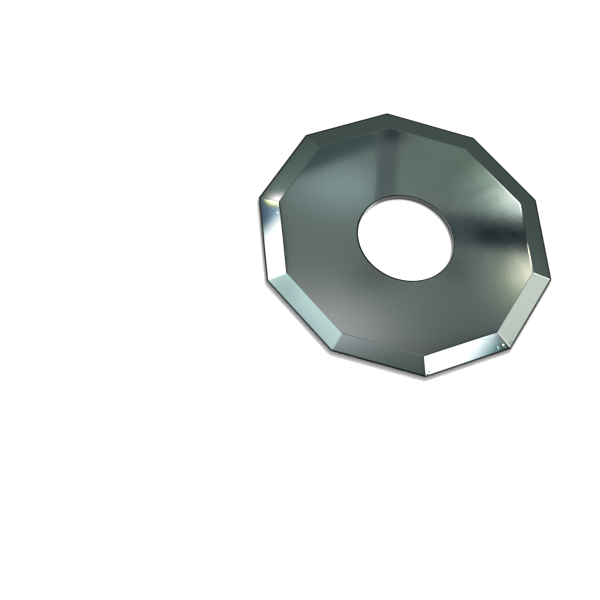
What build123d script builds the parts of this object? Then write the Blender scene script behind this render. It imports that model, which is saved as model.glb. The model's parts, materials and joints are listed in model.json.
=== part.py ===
from build123d import *
import math
import os

# Rotary knife blade of polished carbide: a thin decagonal plate with a round bore. Every side is
# ground from both faces to a straight knife edge at mid-thickness. Millimetres, lying flat on its
# lower face, with the bore's axis on +Z and two of the ten corners on the Y axis.

# driving dimensions
corner_diameter = 25.0
side_count = 10
thickness = 0.6
bore_diameter = 8.0
flank_angle = 10.5
bore_edge_break = 0.05
grinding_stock = 0.4

# worked out from them
corner_radius = corner_diameter / 2
side_distance = corner_radius * math.cos(math.pi / side_count)
edge_height = thickness / 2
flank_width = edge_height / math.tan(math.radians(flank_angle))
flank_start = side_distance - flank_width
blank_radius = corner_radius + grinding_stock

# the space that the grinding wheels clear beside one side: the V opens outwards from the face
# lines of the two flanks, and its apex is the knife edge
with BuildPart() as flank_grind:
    with BuildSketch(Plane.XZ):
        with BuildLine():
            Polyline(
                (flank_start, thickness),
                (side_distance, edge_height),
                (flank_start, 0),
                (flank_start, -grinding_stock),
                (blank_radius + grinding_stock, -grinding_stock),
                (blank_radius + grinding_stock, thickness + grinding_stock),
                (flank_start, thickness + grinding_stock),
                close=True,
            )
        make_face()
    extrude(amount=blank_radius, both=True)

# round lapped blank with its bore, then the ten sides, which meet in mitre lines at the corners
with BuildPart() as knife_blade:
    with BuildSketch(Plane.XY):
        Circle(blank_radius)
        Circle(bore_diameter / 2, mode=Mode.SUBTRACT)
    extrude(amount=thickness)
    with PolarLocations(0, side_count):
        add(flank_grind.part, mode=Mode.SUBTRACT)

    # both rims of the bore have their sharp corner taken off
    bore_rims = knife_blade.edges().filter_by(GeomType.CIRCLE)
    chamfer(bore_rims, length=bore_edge_break)

knife_blade.part.label = "knife_blade"

os.makedirs("parts", exist_ok=True)
export_step(knife_blade.part, "parts/knife_blade.step")
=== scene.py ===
import json
import math
from collections import namedtuple

import bmesh
import bpy
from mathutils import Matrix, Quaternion, Vector


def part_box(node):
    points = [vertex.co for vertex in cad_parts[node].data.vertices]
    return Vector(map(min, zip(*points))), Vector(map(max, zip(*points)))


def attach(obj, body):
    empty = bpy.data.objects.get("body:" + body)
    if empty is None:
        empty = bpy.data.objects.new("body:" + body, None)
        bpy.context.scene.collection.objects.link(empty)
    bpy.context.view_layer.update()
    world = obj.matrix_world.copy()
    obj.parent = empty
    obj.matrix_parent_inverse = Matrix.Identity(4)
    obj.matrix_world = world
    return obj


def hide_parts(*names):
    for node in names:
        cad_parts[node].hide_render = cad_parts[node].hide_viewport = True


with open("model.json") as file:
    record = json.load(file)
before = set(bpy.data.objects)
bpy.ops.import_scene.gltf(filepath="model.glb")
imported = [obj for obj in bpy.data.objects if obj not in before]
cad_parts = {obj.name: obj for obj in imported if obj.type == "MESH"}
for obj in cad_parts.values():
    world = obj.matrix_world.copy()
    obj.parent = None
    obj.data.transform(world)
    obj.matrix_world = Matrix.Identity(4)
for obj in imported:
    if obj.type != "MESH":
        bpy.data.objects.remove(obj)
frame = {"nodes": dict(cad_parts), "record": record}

bl_info = {
    "name": "Rotary knife blade",
    "version": (1, 0, 0),
    "blender": (4, 5, 0),
    "location": "View3D > Sidebar > Knife blade",
    "description": "Makes a decagonal carbide knife blade with ground flanks, and a pale studio around it",
    "category": "Add Mesh",
}

MM = 0.001
TAU = 2 * math.pi

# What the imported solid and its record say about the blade
SOLID = "knife_blade"
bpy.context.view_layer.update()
LOW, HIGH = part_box(SOLID)
BORE = next(m for m in frame["record"]["mounts"] if m["name"] == "bore")
THICKNESS = HIGH.z - LOW.z
SIDE_DISTANCE = HIGH.x
CORNER_RADIUS = HIGH.y
SIDE_COUNT = round(math.pi / math.acos(SIDE_DISTANCE / CORNER_RADIUS))
BORE_RADIUS = BORE["dims"]["r_mm"] * MM
RIM_BREAK = (THICKNESS - BORE["dims"]["length_mm"] * MM) / 2
LEVEL_WITHIN = 0.001 * MM
FACE_POINTS = [v.co for v in frame["nodes"][SOLID].data.vertices if v.co.z > HIGH.z - LEVEL_WITHIN]
FLANK_START = max(point.x for point in FACE_POINTS)
FLANK_ANGLE = math.atan2(THICKNESS / 2, SIDE_DISTANCE - FLANK_START)
SIDE_TURN = TAU / SIDE_COUNT


class BladeShape(bpy.types.PropertyGroup):
    """The fine forms that the grinder and the hone leave on the blade"""

    ridge_width: bpy.props.FloatProperty(
        name="Ridge width",
        description="Width of the rounded line between a face and a flank",
        default=0.09 * MM, min=0.001 * MM, max=0.2 * MM, precision=6, unit="LENGTH", subtype="DISTANCE",
    )
    mitre_radius: bpy.props.FloatProperty(
        name="Mitre radius",
        description="Rounding seen from above where two flanks meet",
        default=0.15 * MM, min=0.001 * MM, max=0.3 * MM, precision=6, unit="LENGTH", subtype="DISTANCE",
    )
    hone_width: bpy.props.FloatProperty(
        name="Hone width",
        description="Width of the honed strip along the cutting edge, on each flank",
        default=0.155 * MM, min=0.005 * MM, max=0.3 * MM, precision=6, unit="LENGTH", subtype="DISTANCE",
    )
    hone_angle: bpy.props.FloatProperty(
        name="Hone angle",
        description="Angle of the honed strip to the blade's plane",
        default=math.radians(11), min=math.radians(10.6), max=math.radians(40), subtype="ANGLE",
    )
    side_steps: bpy.props.IntProperty(
        name="Side steps",
        description="Faces along each straight side, which are also the bore's facets",
        default=20, min=2, max=60,
    )


class CarbideFinish(bpy.types.PropertyGroup):
    """Colours and surface quality of the polished carbide"""

    carbide: bpy.props.FloatVectorProperty(
        name="Carbide",
        description="Reflected tone of the lapped and ground metal",
        default=(0.30, 0.32, 0.315), min=0, max=1, size=3, subtype="COLOR",
    )
    # Painted shade: this near-black tone of the honed strip and the bore's rims stands in for dark
    # reflection and shade
    honed: bpy.props.FloatVectorProperty(
        name="Honed edge",
        description="Tone of the honed strip and of the bore's broken rims",
        default=(0.037, 0.04, 0.039), min=0, max=1, size=3, subtype="COLOR",
    )
    face_roughness: bpy.props.FloatProperty(
        name="Face roughness",
        description="Roughness of the lapped faces",
        default=0.035, min=0, max=1, subtype="FACTOR",
    )
    flank_roughness: bpy.props.FloatProperty(
        name="Flank roughness",
        description="Roughness of the ground flanks",
        default=0.022, min=0, max=1, subtype="FACTOR",
    )
    wall_roughness: bpy.props.FloatProperty(
        name="Bore roughness",
        description="Roughness of the ground bore",
        default=0.28, min=0, max=1, subtype="FACTOR",
    )
    lapping_depth: bpy.props.FloatProperty(
        name="Lapping depth",
        description="Depth of the finest lapping marks",
        default=0.0001 * MM, min=0, max=0.01 * MM, precision=9, unit="LENGTH", subtype="DISTANCE",
    )
    grinding_depth: bpy.props.FloatProperty(
        name="Grinding depth",
        description="Depth of the grinding lines across the flanks",
        default=0.00003 * MM, min=0, max=0.01 * MM, precision=9, unit="LENGTH", subtype="DISTANCE",
    )
    swell_depth: bpy.props.FloatProperty(
        name="Swell depth",
        description="Height of the long, shallow waves that lapping leaves in a face",
        default=0.0006 * MM, min=0, max=0.01 * MM, precision=9, unit="LENGTH", subtype="DISTANCE",
    )


class StudioLook(bpy.types.PropertyGroup):
    """Camera, floor and lights"""

    azimuth: bpy.props.FloatProperty(
        name="Azimuth",
        description="Direction that the camera looks in: 0 is along +Y, 90 along -X",
        default=math.radians(-22.6), subtype="ANGLE",
    )
    elevation: bpy.props.FloatProperty(
        name="Elevation",
        description="Height of the camera above the horizon",
        default=math.radians(60.07), subtype="ANGLE",
    )
    roll: bpy.props.FloatProperty(
        name="Roll",
        description="Turn of the camera about its own axis",
        default=math.radians(19.55), subtype="ANGLE",
    )
    distance: bpy.props.FloatProperty(
        name="Distance",
        description="From the camera to the point that it looks at",
        default=118.09 * MM, min=0.01, precision=4, unit="LENGTH", subtype="DISTANCE",
    )
    aim: bpy.props.FloatVectorProperty(
        name="Aim",
        description="Point in the blade's plane that stands in the middle of the picture",
        default=(-9.35 * MM, -5.6 * MM, 0.3 * MM), size=3, precision=5, unit="LENGTH", subtype="TRANSLATION",
    )
    focal_length: bpy.props.FloatProperty(
        name="Focal length",
        description="The camera's focal length, in millimetres on a 36 mm sensor",
        default=89.79, min=10, max=300,
    )
    floor: bpy.props.FloatVectorProperty(
        name="Floor",
        description="Colour of the floor",
        default=(0.82, 0.82, 0.82), min=0, max=1, size=3, subtype="COLOR",
    )
    # Painted glow: the floor inside the bore gives off this light itself, which lightens the shadow there
    painted_bore_glow: bpy.props.FloatProperty(
        name="Bore glow",
        description="Strength of the light that the bore's wall throws on the floor inside it",
        default=0.55, min=0,
    )
    room_light: bpy.props.FloatProperty(
        name="Room light",
        description="Brightness of the even light that falls from all round",
        default=0.9, min=0,
    )
    key_power: bpy.props.FloatProperty(
        name="Key power",
        description="Power of the soft lamp behind the blade, in watts",
        default=20.0, min=0,
    )


class Wire:
    """The output of a shader node. Arithmetic on it adds the Math or Vector Math nodes that work it out."""

    def __init__(self, socket):
        self.socket = socket
        self.tree = socket.id_data
        self.is_vector = socket.type in {"VECTOR", "RGBA"}

    @staticmethod
    def node(tree, kind, settings=None, inputs=None):
        """Adds a node of this kind: settings first, then values or wires for inputs by name or number."""
        made = tree.nodes.new(kind)
        for name, value in (settings or {}).items():
            setattr(made, name, value)
        for name, value in (inputs or {}).items():
            socket = made.inputs[name]
            if isinstance(value, Wire):
                tree.links.new(value.socket, socket)
            elif socket.type == "RGBA":
                socket.default_value = (*value, 1)
            else:
                socket.default_value = value
        return made

    def add(self, kind, settings=None, inputs=None, output=0):
        return Wire(Wire.node(self.tree, kind, settings, inputs).outputs[output])

    def math(self, operation, *others):
        return self.add("ShaderNodeMath", {"operation": operation}, dict(enumerate((self, *others))))

    def combine(self, operation, other):
        """Adds the node for an operation with another value, which may be a wire or a plain number."""
        if not self.is_vector:
            return self.math(operation, other)
        if not isinstance(other, Wire):
            other = (other, other, other)
        return self.add("ShaderNodeVectorMath", {"operation": operation}, {0: self, 1: other})

    def __add__(self, other):
        return self.combine("ADD", other)

    __radd__ = __add__

    def __mul__(self, other):
        return self.combine("MULTIPLY", other)

    __rmul__ = __mul__

    def __sub__(self, other):
        return self.combine("SUBTRACT", other)

    def __rsub__(self, other):
        return -self + other

    def __truediv__(self, other):
        return self.combine("DIVIDE", other)

    def __rtruediv__(self, other):
        return (self ** -1) * other

    def __pow__(self, other):
        return self.math("POWER", other)

    def __neg__(self):
        return self * -1

    def __abs__(self):
        return self.math("ABSOLUTE")

    def at_least(self, other):
        return self.math("MAXIMUM", other)

    def around(self, middle, spread):
        """Spreads this value, which runs from 0 to 1, round a middle."""
        return (self - 0.5) * spread + middle

    def map_range(self, start, end, first, last):
        """Runs from first to last, with soft shoulders, as this value runs from start to end."""
        inputs = {"Value": self, "From Min": start, "From Max": end, "To Min": first, "To Max": last}
        return self.add("ShaderNodeMapRange", {"interpolation_type": "SMOOTHSTEP"}, inputs)

    def rise(self, start, end):
        return self.map_range(start, end, 0.0, 1.0)

    def fall(self, start, end):
        return self.map_range(start, end, 1.0, 0.0)

    def split(self):
        made = Wire.node(self.tree, "ShaderNodeSeparateXYZ", None, {0: self})
        return [Wire(out) for out in made.outputs]

    def blend(self, first, second):
        """A colour that runs from the first to the second as this value runs from 0 to 1."""
        settings = {"data_type": "RGBA", "clamp_factor": True}
        # 6 and 7 are the Mix node's two colours, and 2 is its colour result
        return self.add("ShaderNodeMix", settings, {0: self, 6: first, 7: second}, 2)

    def tint(self, colour):
        """A colour, or light, times this number."""
        return self.add("ShaderNodeVectorMath", {"operation": "SCALE"}, {"Vector": colour, "Scale": self})


def join(x, y, z=0.0):
    """A vector from three wires or numbers, the first of them a wire."""
    return x.add("ShaderNodeCombineXYZ", None, {0: x, 1: y, 2: z})


def length(x, y):
    """The length of a level vector."""
    return (x * x + y * y).math("SQRT")


def turned(x, y, angle):
    """A level place on axes that are turned by an angle: along the first one, and across it."""
    return x * math.cos(angle) + y * math.sin(angle), y * math.cos(angle) - x * math.sin(angle)


def noise(place, detail, scale=1.0):
    inputs = {"Vector": place, "Scale": scale, "Detail": detail, "Roughness": 0.5}
    return place.add("ShaderNodeTexNoise", {"noise_dimensions": "3D"}, inputs)


def new_material(name):
    """A material with an empty node tree, and in it the place on the object in millimetres."""
    material = bpy.data.materials.new(name)
    material.use_nodes = True
    tree = material.node_tree
    tree.nodes.clear()
    place = Wire(Wire.node(tree, "ShaderNodeTexCoord").outputs["Object"])
    return material, place * (1 / MM)


def finish_material(material, inputs):
    """Closes a material's node tree with one shader that has these inputs."""
    shader = Wire.node(material.node_tree, "ShaderNodeBsdfPrincipled", None, inputs)
    Wire.node(material.node_tree, "ShaderNodeOutputMaterial", None, {"Surface": Wire(shader.outputs[0])})


def finish_metal(material, colour, roughness, height, shine=1.0):
    """Closes a metal's node tree, with its surface's height in metres as a bump."""
    bump_inputs = {"Strength": 1.0, "Distance": 1.0, "Height": height}
    bump = Wire.node(material.node_tree, "ShaderNodeBump", None, bump_inputs)
    finish_material(material, {
        "Base Color": colour,
        "Metallic": shine,
        "Roughness": roughness,
        "Normal": Wire(bump.outputs[0]),
    })
    return material


# A patch of a tone, from 0 to 255 as on a screen: a sheet has soft straight edges, a spot a soft round one,
# and a glow fades out from its middle. The blur is in millimetres for a sheet, and for a spot it is a share
# of the radius.
Patch = namedtuple("Patch", "form at size turn blur tone")
WHITE = (1.0, 1.0, 1.0)


def seen(tone, metal):
    """The light that a metal of this colour turns into this tone on the screen."""
    light = []
    for level, share in zip(tone, metal):
        level = level / 255
        linear = level / 12.92 if level <= 0.04045 else ((level + 0.055) / 1.055) ** 2.4
        light.append(linear / share)
    return tuple(light)


def patch_cover(place_x, place_y, patch):
    """How much of the patch lies at a place, from 0 to 1."""
    along, across = turned(place_x - patch.at[0], place_y - patch.at[1], math.radians(patch.turn))
    wide, high = patch.size
    if patch.form == "sheet":
        ends = abs(along).fall((wide - patch.blur) / 2, (wide + patch.blur) / 2)
        sides = abs(across).fall((high - patch.blur) / 2, (high + patch.blur) / 2)
        return ends * sides
    if patch.form == "spot":
        return length(along * (2 / wide), across * (2 / high)).fall(1 - patch.blur, 1 + patch.blur)
    square = (along / wide) ** 2 + (across / high) ** 2
    return (-square).math("EXPONENT")


# A stain on the face, in millimetres on the blade like the marks, and the share of the light that it takes
STAIN = Patch("spot", (9.25, 0.34), (0.24, 0.24), 0, 0.5, None)
STAIN_DEPTH = 0.6
# Grains of dust, nicks and scratches on the flanks, with painted shadows beside a grain and a drop, and how
# rough they are
MARK_ROUGHNESS = 0.6
FLANK_MARKS = {
    # Painted shadows: the dark spots beside the white grain and the drop
    "grain's shadow": Patch("spot", (6.64, -9.83), (0.36, 0.3), 0, 0.3, (14, 20, 16)),
    "white grain": Patch("spot", (6.72, -9.79), (0.19, 0.17), 0, 0.3, (250, 252, 250)),
    "drop's shadow": Patch("spot", (6.17, -10.05), (0.26, 0.4), 20, 0.3, (52, 84, 92)),
    "drop": Patch("spot", (6.24, -10.02), (0.13, 0.24), 20, 0.4, (176, 212, 222)),
    "small grain": Patch("spot", (6.9, -9.98), (0.1, 0.08), 0, 0.4, (150, 170, 160)),
    "nick": Patch("spot", (7.35, -9.58), (0.17, 0.12), 40, 0.5, (92, 106, 92)),
    "second nick": Patch("spot", (7.5, -9.46), (0.15, 0.1), 0, 0.5, (100, 112, 100)),
    "nick near the edge": Patch("spot", (7.45, -9.7), (0.14, 0.12), 0, 0.5, (98, 110, 100)),
    "front nick": Patch("spot", (0.3, -12.05), (0.1, 0.12), 0, 0.4, (60, 60, 60)),
    "front nick at the edge": Patch("spot", (0.16, -12.3), (0.13, 0.2), 0, 0.4, (10, 10, 10)),
    "scratch": Patch("sheet", (5.85, -9.66), (0.5, 0.016), -8, 0.02, (128, 152, 154)),
    "longer scratch": Patch("sheet", (5.4, -9.36), (1.0, 0.014), 3, 0.02, (150, 166, 168)),
    "scratch by the edge": Patch("sheet", (5.55, -10.2), (0.6, 0.018), -16, 0.02, (100, 134, 140)),
    "dust": Patch("spot", (-10.48, 2.3), (0.16, 0.16), 0, 0.3, (232, 244, 250)),
    "second dust": Patch("spot", (-10.42, 2.86), (0.1, 0.1), 0, 0.3, (236, 240, 210)),
}


def marked(x, y, marks, colour, roughness):
    """Lays the marks over a metal: its colour and roughness with them, and what is left of its shine."""
    shine = None
    for mark in marks.values():
        cover = patch_cover(x, y, mark)
        colour = cover.blend(colour, seen(mark.tone, WHITE))
        shine = 1 - cover if shine is None else shine * (1 - cover)
    return colour, roughness * shine + (1 - shine) * MARK_ROUGHNESS, shine


# A ring of painted shade round the bore on the face, in the honed tone and wider on the side towards the
# camera: how far off the axis it lies, and where it ends past the bore, in millimetres
RIM_SHADE_OFFSET = (-0.06, -0.05)
RIM_SHADE_END = (0.09, 0.14)
# The hairlines on a face: the directions that they cross in, and how fast they change to a millimetre
HAIRLINE_TURNS = (0.35, 1.45, 2.5)
HAIRLINE_ALONG = 0.25
HAIRLINE_ACROSS = 9.0
HAIRLINE_ROUGHNESS = 0.01
# Fainter brushing along +Y, likewise, and its depth as a multiple of the hairlines'
BRUSH_ACROSS = 2.4
BRUSH_ALONG = 0.3
BRUSH_DEPTH = 3.5


def lapped_face(finish):
    """Faces lapped to a dark mirror: crossing hairline marks, long shallow waves, a faint cloudiness and a
    ring of painted shade round the bore.
    """
    material, place = new_material("lapped_face")
    x, y, z = place.split()
    marks = None
    for turn in HAIRLINE_TURNS:
        along, across = turned(x, y, turn)
        layer = noise(join(along * HAIRLINE_ALONG, across * HAIRLINE_ACROSS, turn), detail=3.0)
        marks = layer if marks is None else marks + layer
    brush = noise(join(x * BRUSH_ACROSS, y * BRUSH_ALONG, z), detail=2.0)
    cloud = noise(place, detail=3.0, scale=0.35)
    swell = noise(place, detail=1.0, scale=0.3)
    marks_middle = len(HAIRLINE_TURNS) / 2
    roughness = cloud.around(finish.face_roughness, spread=0.02)
    roughness += (marks - marks_middle) * HAIRLINE_ROUGHNESS
    rim_radius = length(x - RIM_SHADE_OFFSET[0], y - RIM_SHADE_OFFSET[1])
    rim = rim_radius.fall(BORE_RADIUS / MM + RIM_SHADE_END[0], BORE_RADIUS / MM + RIM_SHADE_END[1])
    unstained = 1 - patch_cover(x, y, STAIN) * STAIN_DEPTH
    colour = (cloud.around(1.0, spread=0.05) * unstained).tint(finish.carbide)
    # Painted shade: a dark ring in the honed tone round the bore
    colour = rim.blend(colour, finish.honed)
    height = (marks + brush * BRUSH_DEPTH) * finish.lapping_depth + swell * finish.swell_depth
    return finish_metal(material, colour, roughness, height)


# The grinding lines on a flank: how fast they change to a millimetre along the side, and out from the face
LINES_ALONG = 14.0
LINES_OUT = 0.6
# The bore and the honed edge are rougher: how much deeper their marks are, and the honed edge's roughness
COARSER = 4
HONED_ROUGHNESS = 0.15


def ground_flank(finish):
    """Flanks ground with lines that run across them, from the face to the cutting edge."""
    material, place = new_material("ground_flank")
    x, y, z = place.split()
    angle = y.math("ARCTAN2", x)
    off_side = angle - (angle / SIDE_TURN).math("ROUND") * SIDE_TURN
    along = length(x, y) * off_side.math("SINE")
    out = length(x, y) * off_side.math("COSINE")
    lines = noise(join(along * LINES_ALONG, out * LINES_OUT, z), detail=3.0)
    cloud = noise(place, detail=2.0, scale=0.8)
    roughness = cloud.around(finish.flank_roughness, spread=0.01) + lines.around(0.0, spread=0.01)
    colour = lines.around(1.0, spread=0.06).tint(finish.carbide)
    colour, roughness, shine = marked(x, y, FLANK_MARKS, colour, roughness)
    return finish_metal(material, colour, roughness, lines * finish.grinding_depth, shine)


# The bore's wall: its tone as a share of the metal's, kept dark as painted shade inside the bore, how much
# lighter a painted highlight makes it on one side, on which side that is, and from what share of the radius
# on. Its rings change fast up the wall and slowly round it.
WALL_SHADED_TONE = 0.28
WALL_HIGHLIGHT_GAIN = 1.5
WALL_HIGHLIGHT_SIDE = math.radians(140)
WALL_HIGHLIGHT_FROM = 0.92
RINGS_UP = 40.0
RINGS_ROUND = 0.4


def bore_wall(finish):
    """The bore, ground round its axis, duller than the faces, darkened as painted shade and with a painted
    highlight on one side.
    """
    material, place = new_material("bore_wall")
    x, y, z = place.split()
    rings = noise(join(x * RINGS_ROUND, y * RINGS_ROUND, z * RINGS_UP), detail=2.0)
    toward, _ = turned(x, y, WALL_HIGHLIGHT_SIDE)
    # Painted highlight: the wall is lighter on one side
    bright = toward.rise(BORE_RADIUS / MM * WALL_HIGHLIGHT_FROM, BORE_RADIUS / MM) * WALL_HIGHLIGHT_GAIN
    colour = (rings.around(WALL_SHADED_TONE, spread=0.25) + bright).tint(finish.carbide)
    roughness = rings.around(finish.wall_roughness, spread=0.12)
    return finish_metal(material, colour, roughness, rings * (finish.grinding_depth * COARSER))


def honed_edge_with_painted_shade(finish):
    """The honed strip at the cutting edge and the bore's broken rims, in a near-black painted shade for the
    dark they reflect.
    """
    material, place = new_material("honed_edge_with_painted_shade")
    grit = noise(place, detail=3.0, scale=22.0)
    colour = grit.around(1.0, spread=0.6).tint(finish.honed)
    roughness = grit.around(HONED_ROUGHNESS, spread=0.1)
    return finish_metal(material, colour, roughness, grit * (finish.grinding_depth * COARSER))


# One band of the blade's section runs from its own row to the next one. A row is a circle at a radius, or
# the ring of ten sides at a distance, at a height. The tilts are those of the surface's normal from the
# blade's axis at the band's two ends, outwards.
Row = namedtuple("Row", "has_sides reach height tilt_start tilt_end finish")
# The blade's materials, in the order of its slots
FACE, FLANK, WALL, HONED = range(4)
# How finely a ridge and a mitre are rounded
RIDGE_STEPS = 4
MITRE_STEPS = 3


def section_rows(shape):
    """The upper half of the section, from the middle of the bore's wall to the cutting edge."""
    top = THICKNESS
    middle = THICKNESS / 2
    inward = -math.pi / 2
    rows = [
        Row(False, BORE_RADIUS, middle, inward, inward, WALL),
        Row(False, BORE_RADIUS, top - RIM_BREAK, inward / 2, inward / 2, HONED),
        Row(False, BORE_RADIUS + RIM_BREAK, top, 0, 0, FACE),
    ]
    ridge_radius = shape.ridge_width / FLANK_ANGLE
    ridge_start = FLANK_START - ridge_radius * math.tan(FLANK_ANGLE / 2)
    for step in range(RIDGE_STEPS + 1):
        tilt = FLANK_ANGLE * step / RIDGE_STEPS
        next_tilt = min(FLANK_ANGLE, FLANK_ANGLE * (step + 1) / RIDGE_STEPS)
        reach = ridge_start + ridge_radius * math.sin(tilt)
        height = top - ridge_radius * (1 - math.cos(tilt))
        rows.append(Row(True, reach, height, tilt, next_tilt, FLANK))
    hone_start = SIDE_DISTANCE - shape.hone_width
    hone_height = top - (hone_start - FLANK_START) * math.tan(FLANK_ANGLE)
    edge_reach = hone_start + (hone_height - middle) / math.tan(shape.hone_angle)
    for reach, height in ((hone_start, hone_height), (edge_reach, middle)):
        rows.append(Row(True, reach, height, shape.hone_angle, shape.hone_angle, HONED))
    return rows


# A column of vertices: its side, how far along the side it stands from -1 to 1, how much of a mitre's turn
# it has made from 0 to 1, and its direction from the bore's axis where a row is a circle
Column = namedtuple("Column", "side along turn angle")


def section_columns(shape):
    """The columns of vertices round the blade, each side's straight ones and then those of its mitre."""
    spots = []
    for side in range(SIDE_COUNT):
        for step in range(shape.side_steps + 1):
            spots.append((side, 2 * step / shape.side_steps - 1, 0.0))
        for step in range(1, MITRE_STEPS):
            spots.append((side, 1.0, step / MITRE_STEPS))
    return [Column(*spot, TAU * number / len(spots) - SIDE_TURN / 2) for number, spot in enumerate(spots)]


def level_direction(angle):
    return Vector((math.cos(angle), math.sin(angle), 0))


def outward(row, column):
    """The level direction that a row faces at a column."""
    return level_direction(SIDE_TURN * (column.side + column.turn) if row.has_sides else column.angle)


def column_point(row, column, shape):
    """The point of a row at a column, seen from above."""
    if not row.has_sides:
        return outward(row, column) * row.reach
    heart = row.reach - shape.mitre_radius
    middle = level_direction(SIDE_TURN * column.side)
    sideways = Vector((-middle.y, middle.x, 0))
    foot = middle * heart + sideways * (column.along * heart * math.tan(SIDE_TURN / 2))
    return foot + outward(row, column) * shape.mitre_radius


def build_blade_mesh(shape):
    """The blade as one closed mesh, with a normal for every corner of every face."""
    rows = section_rows(shape)
    columns = section_columns(shape)
    normals = []
    finishes = []
    bm = bmesh.new()

    def ring_of_vertices(row, height):
        ring = []
        for column in columns:
            point = column_point(row, column, shape)
            point.z = height
            ring.append(bm.verts.new(point))
        return ring

    def band(rings, index, is_upper):
        row = rows[index]
        for number, column in enumerate(columns):
            after_number = (number + 1) % len(columns)
            after = columns[after_number]
            if after.side != column.side:
                after = Column(column.side, 1.0, 1.0, after.angle)
            corners = [
                (rings[index][number], column, row.tilt_start),
                (rings[index + 1][number], column, row.tilt_end),
                (rings[index + 1][after_number], after, row.tilt_end),
                (rings[index][after_number], after, row.tilt_start),
            ]
            if not is_upper:
                corners.reverse()
            bm.faces.new([vertex for vertex, _, _ in corners])
            for _, place, tilt in corners:
                normal = outward(row, place) * math.sin(tilt)
                normal.z = math.cos(tilt) if is_upper else -math.cos(tilt)
                normals.append(normal)
            finishes.append(row.finish)

    # The halves share the middle of the bore's wall and the cutting edge
    upper = [ring_of_vertices(row, row.height) for row in rows]
    lower = [ring_of_vertices(row, THICKNESS - row.height) for row in rows[1:-1]]
    lower = [upper[0], *lower, upper[-1]]
    for index in range(len(rows) - 1):
        band(upper, index, True)
        band(lower, index, False)

    mesh = bpy.data.meshes.new("knife_blade")
    bm.to_mesh(mesh)
    bm.free()
    for polygon, finish in zip(mesh.polygons, finishes):
        polygon.use_smooth = True
        polygon.material_index = finish
    # With every edge sharp, no corner's normal is averaged with its neighbour's
    for edge in mesh.edges:
        edge.use_edge_sharp = True
    mesh.normals_split_custom_set(normals)
    return mesh


class MakeKnifeBlade(bpy.types.Operator):
    """Make the blade: lapped faces, ground flanks with mitred corners, honed edge and bore"""

    bl_idname = "knife_blade.make_blade"
    bl_label = "Knife blade"

    def execute(self, context):
        shape = context.scene.blade_shape
        finish = context.scene.carbide_finish
        blade = bpy.data.objects.new("decagonal_blade", build_blade_mesh(shape))
        context.scene.collection.objects.link(blade)
        for make in (lapped_face, ground_flank, bore_wall, honed_edge_with_painted_shade):
            blade.data.materials.append(make(finish))
        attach(blade, "root")
        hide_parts(SOLID)
        return {"FINISHED"}


# The room that the metal mirrors. Its tones are those that the carbide then has on the screen, from 0 to
# 255. Behind all else it darkens from the horizon up to a direction that rises by this share of its length.
HORIZON_TONE = (92, 104, 100)
ZENITH_TONE = (44, 54, 51)
ZENITH_HEIGHT = 0.75
# The walls are soft lamps round the blade: the direction in which one stands, in degrees from +X, half its
# width, and its lower and upper end, as degrees above the horizon
Wall = namedtuple("Wall", "direction half_width low high tone")
WALL_BLUR = 9
WALLS = {
    "back lamp": Wall(98, 16, 7, 22, (196, 206, 202)),
    "right back lamp": Wall(35, 12, 5, 21, (176, 186, 180)),
    "right lamp": Wall(335, 18, 12, 40, (184, 194, 190)),
    "lamp behind the camera": Wall(262, 22, 36, 52, (204, 212, 208)),
    "left lamp": Wall(186, 18, 22, 46, (190, 200, 197)),
}

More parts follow.
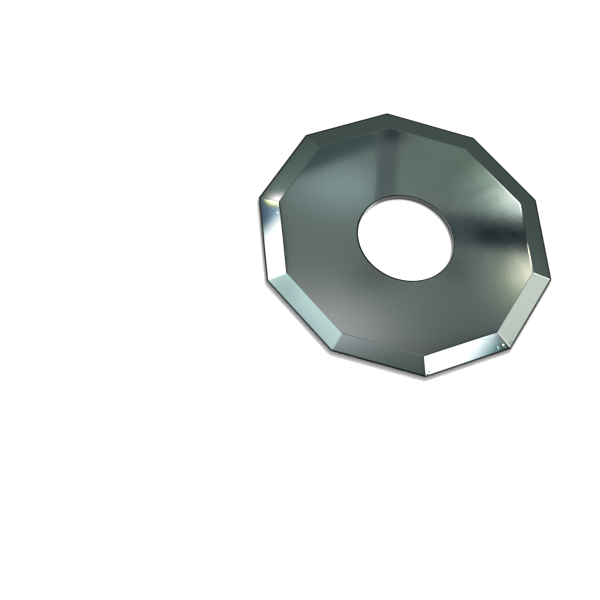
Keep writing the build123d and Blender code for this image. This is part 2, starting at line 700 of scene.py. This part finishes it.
# The ceiling, in millimetres in the plane of the blade's upper face, where the camera sees it mirrored: a
# patch at (-5, 5) shows on the face at x = -5, y = 5, and the flanks show what lies 40 to 80 mm out. A later
# patch covers an earlier one.
PATCHES = {
    "ceiling": Patch("spot", (8, 18), (210, 190), 0, 0.16, (64, 77, 72)),
    "near ceiling": Patch("spot", (0, 0), (64, 64), 0, 0.35, (95, 107, 104)),
    "dim lower side": Patch("glow", (4, -12), (6, 5), 0, 0, (76, 84, 84)),
    "light lower left": Patch("glow", (-8.5, -9.2), (5.8, 4.2), 0, 0, (160, 163, 164)),
    "dim below the bore": Patch("glow", (-3, -3.4), (2.2, 1.6), 0, 0, (86, 94, 92)),
    "light upper left": Patch("glow", (-4.9, 4.8), (4.2, 2.6), 0, 0, (124, 145, 143)),
    "light right of the bar": Patch("glow", (6, 7.5), (4, 2.6), 0, 0, (92, 112, 102)),
    "roof wedge": Patch("sheet", (-8.46, 10.14), (13, 8), 24, 1.2, (58, 75, 75)),
    "roof bar": Patch("sheet", (-0.75, 7), (1.8, 10), -10, 0.6, (78, 91, 90)),
    "roof joint": Patch("glow", (0.1, 10.2), (1.3, 0.9), 0, 0, (34, 48, 48)),
    "window haze": Patch("glow", (10.8, 4.3), (3.5, 2.3), 0, 0, (162, 189, 173)),
    "window": Patch("glow", (11, 3.8), (2.3, 1.4), 0, 0, (235, 247, 241)),
    "warm haze": Patch("glow", (10.5, -4.2), (2.9, 2.8), 0, 0, (163, 178, 150)),
    "warm lamp": Patch("glow", (11, -3.4), (2, 1.5), 0, 0, (252, 250, 230)),
    "dim right of the bore": Patch("glow", (3.6, -2.8), (1.5, 1.8), 0, 0, (76, 88, 84)),
    "glazing bar": Patch("sheet", (10, 0.19), (14, 3.1), -6, 1.5, (57, 69, 71)),
    "glazing bar's core": Patch("sheet", (12, -0.1), (12, 1.8), -4, 1.4, (26, 37, 43)),
    "window's far end": Patch("sheet", (28.4, 18.7), (44, 6.2), 36, 2, (400, 405, 402)),
    "window's side": Patch("sheet", (37, 10.9), (49, 1.9), 17.4, 0.8, (330, 335, 332)),
    "bar's side": Patch("sheet", (37, 8.1), (49, 2.4), 16.7, 0.8, (36, 48, 52)),
    "lamp's side": Patch("sheet", (37, 5.1), (49, 2.0), 16, 0.8, (340, 336, 300)),
    "light beside the lamp": Patch("glow", (65, 11.6), (2.6, 3.6), 0, 0, (79, 92, 89)),
    "dim front edge": Patch("glow", (-1.5, -11.3), (5, 1.5), 0, 0, (84, 90, 88)),
    "dim front left": Patch("sheet", (-9.56, -26.9), (8.5, 35), -18, 2, (104, 114, 112)),
    "dark floor edge": Patch("sheet", (9.5, -28.5), (19, 33), 0, 2, (8, 12, 12)),
    "dark floor's near edge": Patch("sheet", (3.93, -12.1), (7, 4.7), 18, 0.4, (8, 12, 12)),
    "dark left's near edge": Patch("sheet", (-12.4, 0.2), (4.2, 7), 0, 0.4, (8, 12, 12)),
    "dark left edge": Patch("sheet", (-28.2, 0), (32.6, 14), 0, 2, (8, 12, 12)),
    "front panel": Patch("sheet", (42, -26), (28, 32), 0, 6, (194, 204, 195)),
    "front panel's cool end": Patch("glow", (43.2, -30.4), (2.4, 3.4), 0, 0, (172, 190, 178)),
    "front panel's bright end": Patch("glow", (57, -4), (7, 7), 0, 0, (380, 380, 372)),
    "dark gap": Patch("sheet", (25, -48), (18.2, 16), -20, 2.4, (30, 42, 40)),
    "teal edge": Patch("sheet", (9.05, -46.6), (11.6, 10), -39.5, 1.3, (114, 158, 158)),
    "white panel": Patch("sheet", (8.3, -46.05), (11.5, 10), -39.5, 1.8, (266, 276, 282)),
    "lilac corner": Patch("glow", (15.6, -47.15), (0.35, 0.35), 0, 0, (128, 130, 136)),
    "light by the front panel": Patch("sheet", (36.7, -34.3), (12, 6), 46, 1.5, (300, 306, 300)),
    "white panel's far side": Patch("sheet", (2.3, -50.3), (13, 5), 4, 1.5, (266, 276, 282)),
    "dark front gap": Patch("sheet", (-9.3, -50), (10.8, 14), 0, 0.8, (10, 15, 15)),
    "light at the front left": Patch("glow", (-26, -45.7), (8.7, 3.24), -5, 0, (229, 243, 247)),
    "teal panel": Patch("sheet", (-37.5, -29.5), (15, 25), -45, 3, (189, 217, 213)),
    "teal panel's grey edge": Patch("glow", (-41.4, -33.8), (6, 1.3), 126, 0, (156, 180, 183)),
    "teal panel's dim end": Patch("glow", (-41.7, -31.3), (1.1, 0.9), -60, 0, (160, 188, 186)),
    "light between the left panels": Patch("sheet", (-46.8, -16.8), (23, 4.2), -76, 1, (240, 248, 246)),
    "light at the left corner": Patch("glow", (-43.6, -29.2), (1.1, 1.1), 0, 0, (290, 298, 296)),
    "light above the left panel": Patch("sheet", (-45.3, 20.4), (27, 2.2), 76.6, 0.8, (240, 244, 230)),
    "blue gap": Patch("sheet", (-49, 2.2), (8, 5.2), 0, 0.6, (62, 82, 100)),
    "blue haze": Patch("glow", (-47.9, 2), (1, 1.2), 0, 0, (140, 172, 200)),
    "left panel's blue edge": Patch("sheet", (-48.4, -1.6), (8.3, 4.9), 45, 1.4, (100, 142, 160)),
    "left white panel": Patch("sheet", (-48.4, -2.3), (8.3, 4.9), 45, 1.5, (270, 276, 278)),
    "olive rim": Patch("spot", (-48.12, 3.38), (2.64, 2.36), 0, 0.06, (92, 112, 66)),
    "yellow rim": Patch("spot", (-48.1, 3.4), (2.42, 2.14), 0, 0.05, (246, 255, 196)),
    "small white panel": Patch("spot", (-47.9, 3.62), (2.4, 2.2), 0, 0.1, (300, 300, 290)),
    "light at the back left": Patch("glow", (-42, 34), (8, 8), 0, 0, (116, 136, 128)),
    "dim back left edge": Patch("glow", (-39.9, 42.3), (6.5, 1.2), 54, 0, (62, 76, 70)),
    "dim end of the back left edge": Patch("glow", (-42, 38.6), (1, 0.9), 0, 0, (56, 66, 50)),
    "white corner": Patch("glow", (-39.95, 37.35), (0.82, 0.7), -26, 0, (300, 284, 292)),
}

# The haze round the window has feathery streaks. They spread from this place at its edge, in millimetres
# like the patches: how many there are to a radian, how much they bend and how fast they change to a
# millimetre, where they set in and where they are gone, and how strong they are.
WINDOW_EDGE = (12.2, 3.4)
FEATHERS = 8.0
FEATHER_BEND = 0.12
FEATHER_CHANGE = 0.3
FEATHER_START = (0.5, 2.0)
FEATHER_END = (6.0, 10.0)
FEATHER_STRENGTH = 1.6
# A direction that rises by less than this share of its length counts as if it rose so much, so that the
# ceiling ends somewhere
LOWEST_HEIGHT = 0.03
# Straight overhead a direction's level length is nought, and counts as this where it divides
LEAST_LENGTH = 0.001


def sine(degrees):
    return math.sin(math.radians(degrees))


def wall_cover(x, y, z, wall):
    """How much of the wall's lamp lies in a direction, from 0 to 1."""
    toward, _ = turned(x, y, math.radians(wall.direction))
    facing = toward / length(x, y).at_least(LEAST_LENGTH)
    wide = math.cos(math.radians(wall.half_width + WALL_BLUR))
    narrow = math.cos(math.radians(wall.half_width - WALL_BLUR))
    foot = z.rise(sine(wall.low - WALL_BLUR / 2), sine(wall.low + WALL_BLUR / 2))
    head = z.fall(sine(wall.high - WALL_BLUR), sine(wall.high + WALL_BLUR))
    return facing.rise(wide, narrow) * foot * head


def feathering(place_x, place_y):
    """Streaks that spread from the window over the ceiling and bend a little, as a factor round 1."""
    off_x = WINDOW_EDGE[0] - place_x
    off_y = place_y - WINDOW_EDGE[1]
    reach = length(off_x, off_y)
    bend = off_y.math("ARCTAN2", off_x) + reach * FEATHER_BEND
    streaks = noise(join(bend * FEATHERS, reach * FEATHER_CHANGE), detail=3.0)
    strength = reach.rise(*FEATHER_START) * reach.fall(*FEATHER_END) * FEATHER_STRENGTH
    return streaks.around(1.0, strength)


def room_light(tree, camera, carbide):
    """The light from each direction: the walls, and the ceiling that the camera sees mirrored in a face."""
    direction = Wire(Wire.node(tree, "ShaderNodeTexCoord").outputs["Generated"])
    x, y, z = direction.split()
    light = z.rise(0.0, ZENITH_HEIGHT).blend(seen(HORIZON_TONE, carbide), seen(ZENITH_TONE, carbide))
    for wall in WALLS.values():
        light = wall_cover(x, y, z, wall).blend(light, seen(wall.tone, carbide))
    reach = ((camera.z - THICKNESS) / MM) / z.at_least(LOWEST_HEIGHT)
    place_x = x * reach + camera.x / MM
    place_y = y * reach + camera.y / MM
    for patch in PATCHES.values():
        light = patch_cover(place_x, place_y, patch).blend(light, seen(patch.tone, carbide))
    return feathering(place_x, place_y).tint(light)


def place_camera(scene, look):
    camera = bpy.data.objects.new("camera", bpy.data.cameras.new("camera"))
    scene.collection.objects.link(camera)
    camera.data.lens = look.focal_length
    camera.data.clip_start = 1 * MM
    camera.data.clip_end = 10
    flat = math.cos(look.elevation)
    back = Vector((math.sin(look.azimuth) * flat, -math.cos(look.azimuth) * flat, math.sin(look.elevation)))
    camera.location = Vector(look.aim) + back * look.distance
    camera.rotation_mode = "QUATERNION"
    camera.rotation_quaternion = back.to_track_quat("Z", "Y") @ Quaternion((0, 0, 1), look.roll)
    scene.camera = camera
    return camera


# The floor reaches this far each way, in metres. The painted glow on it inside the bore is in millimetres.
FLOOR_REACH = 4.0
GLOW_MIDDLE = (-0.05, 0.04)
GLOW_RADIUS = 3.9
GLOW_BLUR = 0.05


def make_floor(scene, look):
    """A plain pale floor with a very faint grain, and a painted glow on it inside the bore, which lightens
    the shadow there.
    """
    bm = bmesh.new()
    corners = ((-1, -1), (1, -1), (1, 1), (-1, 1))
    bm.faces.new([bm.verts.new((x * FLOOR_REACH, y * FLOOR_REACH, 0)) for x, y in corners])
    mesh = bpy.data.meshes.new("floor")
    bm.to_mesh(mesh)
    bm.free()
    floor = bpy.data.objects.new("floor", mesh)
    scene.collection.objects.link(floor)
    material, place = new_material("pale_floor")
    x, y, _ = place.split()
    grain = noise(place, detail=2.0, scale=0.5)
    radius = length(x - GLOW_MIDDLE[0], y - GLOW_MIDDLE[1])
    # Painted glow: the floor emits light inside the bore
    painted_glow_in_bore = radius.fall(GLOW_RADIUS - GLOW_BLUR, GLOW_RADIUS + GLOW_BLUR)
    finish_material(material, {
        "Base Color": grain.around(1.0, spread=0.02).tint(look.floor),
        "Roughness": 1.0,
        "Specular IOR Level": 0.0,
        "Emission Color": painted_glow_in_bore,
        "Emission Strength": look.painted_bore_glow,
    })
    mesh.materials.append(material)


def make_room(scene, look, finish, camera):
    """Even pale light for the floor, and the room with its lamps and ceiling for what shines."""
    world = bpy.data.worlds.new("studio")
    scene.world = world
    world.use_nodes = True
    world.cycles.sampling_method = "NONE"
    tree = world.node_tree
    tree.nodes.clear()
    room = room_light(tree, camera.location, finish.carbide)
    path = Wire.node(tree, "ShaderNodeLightPath")
    shines = Wire(path.outputs["Is Glossy Ray"])
    seen_directly = Wire(path.outputs["Is Camera Ray"])
    pale = seen_directly * (1.0 - look.room_light) + look.room_light
    inputs = {"Color": shines.blend(pale, room), "Strength": 1.0}
    background = Wire.node(tree, "ShaderNodeBackground", None, inputs)
    Wire.node(tree, "ShaderNodeOutputWorld", None, {"Surface": Wire(background.outputs[0])})


# The soft lamp, in metres
KEY_DIRECTION = (0.24, 0.60, 0.76)
KEY_DISTANCE = 1.5
KEY_WIDTH = 0.7


def make_key(scene, look):
    """The soft lamp behind the blade, which throws its shadow towards the camera."""
    lamp = bpy.data.lights.new("soft_lamp", "AREA")
    lamp.shape = "DISK"
    lamp.size = KEY_WIDTH
    lamp.energy = look.key_power
    key = bpy.data.objects.new("soft_lamp", lamp)
    scene.collection.objects.link(key)
    toward = Vector(KEY_DIRECTION).normalized()
    key.location = toward * KEY_DISTANCE
    key.rotation_mode = "QUATERNION"
    key.rotation_quaternion = toward.to_track_quat("Z", "Y")
    key.visible_glossy = False


class MakeStudio(bpy.types.Operator):
    """Make the camera, the pale floor and the soft studio light"""

    bl_idname = "knife_blade.make_studio"
    bl_label = "Studio"

    def execute(self, context):
        scene = context.scene
        look = scene.studio_look
        scene.view_settings.view_transform = "Standard"
        camera = place_camera(scene, look)
        make_floor(scene, look)
        make_room(scene, look, scene.carbide_finish, camera)
        make_key(scene, look)
        return {"FINISHED"}


class KnifeBladePanel(bpy.types.Panel):
    """Sizes, finish and studio of the knife blade"""

    bl_idname = "VIEW3D_PT_knife_blade"
    bl_label = "Knife blade"
    bl_space_type = "VIEW_3D"
    bl_region_type = "UI"
    bl_category = "Knife blade"

    def draw(self, context):
        scene = context.scene
        for group, operator in (
            (scene.blade_shape, MakeKnifeBlade),
            (scene.carbide_finish, None),
            (scene.studio_look, MakeStudio),
        ):
            box = self.layout.box()
            for name in group.__annotations__:
                box.prop(group, name)
            if operator:
                box.operator(operator.bl_idname)


GROUPS = {"blade_shape": BladeShape, "carbide_finish": CarbideFinish, "studio_look": StudioLook}
CLASSES = (*GROUPS.values(), MakeKnifeBlade, MakeStudio, KnifeBladePanel)


def register():
    for cls in CLASSES:
        bpy.utils.register_class(cls)
    for name, group in GROUPS.items():
        setattr(bpy.types.Scene, name, bpy.props.PointerProperty(type=group))


def unregister():
    for name in GROUPS:
        delattr(bpy.types.Scene, name)
    for cls in reversed(CLASSES):
        bpy.utils.unregister_class(cls)


def main():
    register()
    bpy.ops.knife_blade.make_blade()
    bpy.ops.knife_blade.make_studio()


if __name__ == "__main__":
    main()
